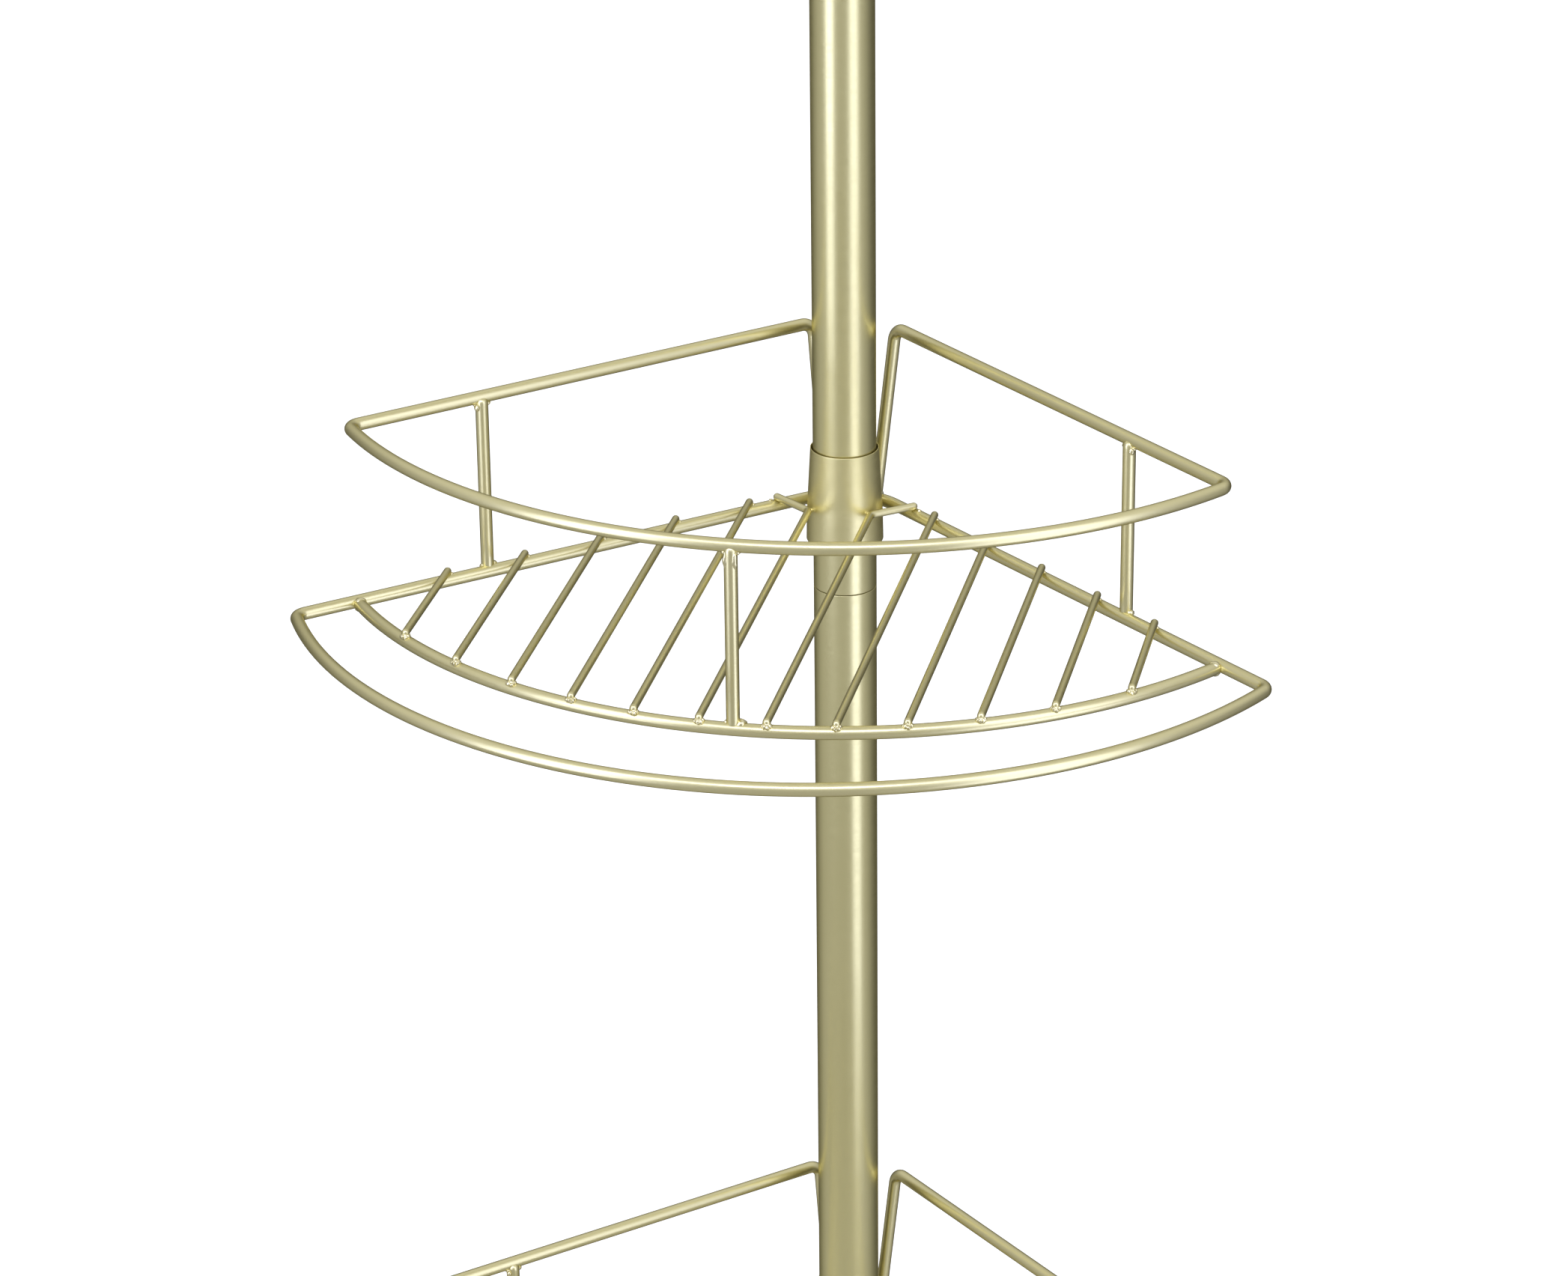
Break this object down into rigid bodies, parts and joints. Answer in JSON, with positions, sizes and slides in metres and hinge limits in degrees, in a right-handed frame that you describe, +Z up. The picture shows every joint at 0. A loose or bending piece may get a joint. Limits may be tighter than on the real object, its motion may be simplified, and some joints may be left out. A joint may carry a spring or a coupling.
{
  "type": "shower caddy",
  "caption": "Telescopic corner shower caddy: a spring-loaded round pole between floor and ceiling with wire corner shelves, each with a top ring and a curved towel rail.",
  "frame": {"origin": "on the pole's axis, at the underside of the rubber foot", "axes": "+Z up along the pole; -Y is the front that the shelves open to, +Y points into the corner of the room; +X to the right seen from the front"},
  "size_m": [0.3696, 0.2809, 1.978],
  "materials": {
    "gold_tube": "brushed champagne gold, satin",
    "gold_wire": "champagne gold coating, satin",
    "bare_steel": "bare spring and tube steel",
    "nylon": "natural white moulded plastic",
    "dark_plastic": "fine-grained moulded plastic",
    "rubber": "matt soft rubber"
  },
  "bodies": {
    "pole": {"foot_pad": "rubber", "foot_cap": "dark_plastic", "lower_tube": "gold_tube", "lower_joiner": "bare_steel", "middle_tube": "gold_tube", "upper_joiner": "bare_steel", "upper_tube": "gold_tube", "spring_seat": "nylon", "tension_spring": "bare_steel", "guide_bushing": "dark_plastic"},
    "telescopic_top": {"stop_plug": "nylon", "inner_tube": "gold_tube", "ceiling_cap": "dark_plastic", "ceiling_pad": "rubber"},
    "bottom_sleeve": {"bottom_shelf_sleeve_left_half": "nylon", "bottom_shelf_sleeve_right_half": "nylon"},
    "bottom_shelf": {"bottom_shelf_collar": "gold_wire", "bottom_shelf_floor_frame": "gold_wire", "bottom_shelf_inner_front_wire": "gold_wire", "bottom_shelf_grid_wires": "gold_wire", "bottom_shelf_top_ring": "gold_wire", "bottom_shelf_posts": "gold_wire"},
    "lower_sleeve": {"lower_shelf_sleeve_left_half": "nylon", "lower_shelf_sleeve_right_half": "nylon"},
    "lower_shelf": {"lower_shelf_collar": "gold_wire", "lower_shelf_floor_frame": "gold_wire", "lower_shelf_inner_front_wire": "gold_wire", "lower_shelf_grid_wires": "gold_wire", "lower_shelf_top_ring": "gold_wire", "lower_shelf_posts": "gold_wire"},
    "upper_sleeve": {"upper_shelf_sleeve_left_half": "nylon", "upper_shelf_sleeve_right_half": "nylon"},
    "upper_shelf": {"upper_shelf_collar": "gold_wire", "upper_shelf_floor_frame": "gold_wire", "upper_shelf_inner_front_wire": "gold_wire", "upper_shelf_grid_wires": "gold_wire", "upper_shelf_top_ring": "gold_wire", "upper_shelf_posts": "gold_wire"},
    "top_sleeve": {"top_shelf_sleeve_left_half": "nylon", "top_shelf_sleeve_right_half": "nylon"},
    "top_shelf": {"top_shelf_collar": "gold_wire", "top_shelf_floor_frame": "gold_wire", "top_shelf_inner_front_wire": "gold_wire", "top_shelf_grid_wires": "gold_wire", "top_shelf_top_ring": "gold_wire", "top_shelf_posts": "gold_wire"}
  },
  "joints": [
    {"name": "telescopic_slide", "type": "slide", "parent": "pole", "child": "telescopic_top", "axis": [0, 0, 1], "range_m": [-0.1, 0], "stiffness_N_per_m": 1200, "springref_m": 0.05, "deforming": ["tension_spring"]},
    {"name": "bottom_shelf_height", "type": "slide", "parent": "pole", "child": "bottom_sleeve", "axis": [0, 0, 1], "range_m": [-0.12, 0.12]},
    {"name": "bottom_shelf_swivel", "type": "hinge", "parent": "bottom_sleeve", "child": "bottom_shelf", "pos_m": [0, 0, 0.245], "axis": [0, 0, 1], "continuous": true},
    {"name": "lower_shelf_height", "type": "slide", "parent": "pole", "child": "lower_sleeve", "axis": [0, 0, 1], "range_m": [-0.12, 0.12]},
    {"name": "lower_shelf_swivel", "type": "hinge", "parent": "lower_sleeve", "child": "lower_shelf", "pos_m": [0, 0, 0.624], "axis": [0, 0, 1], "continuous": true},
    {"name": "upper_shelf_height", "type": "slide", "parent": "pole", "child": "upper_sleeve", "axis": [0, 0, 1], "range_m": [-0.12, 0.12]},
    {"name": "upper_shelf_swivel", "type": "hinge", "parent": "upper_sleeve", "child": "upper_shelf", "pos_m": [0, 0, 1.003], "axis": [0, 0, 1], "continuous": true},
    {"name": "top_shelf_height", "type": "slide", "parent": "pole", "child": "top_sleeve", "axis": [0, 0, 1], "range_m": [-0.12, 0.12]},
    {"name": "top_shelf_swivel", "type": "hinge", "parent": "top_sleeve", "child": "top_shelf", "pos_m": [0, 0, 1.382], "axis": [0, 0, 1], "continuous": true}
  ]
}
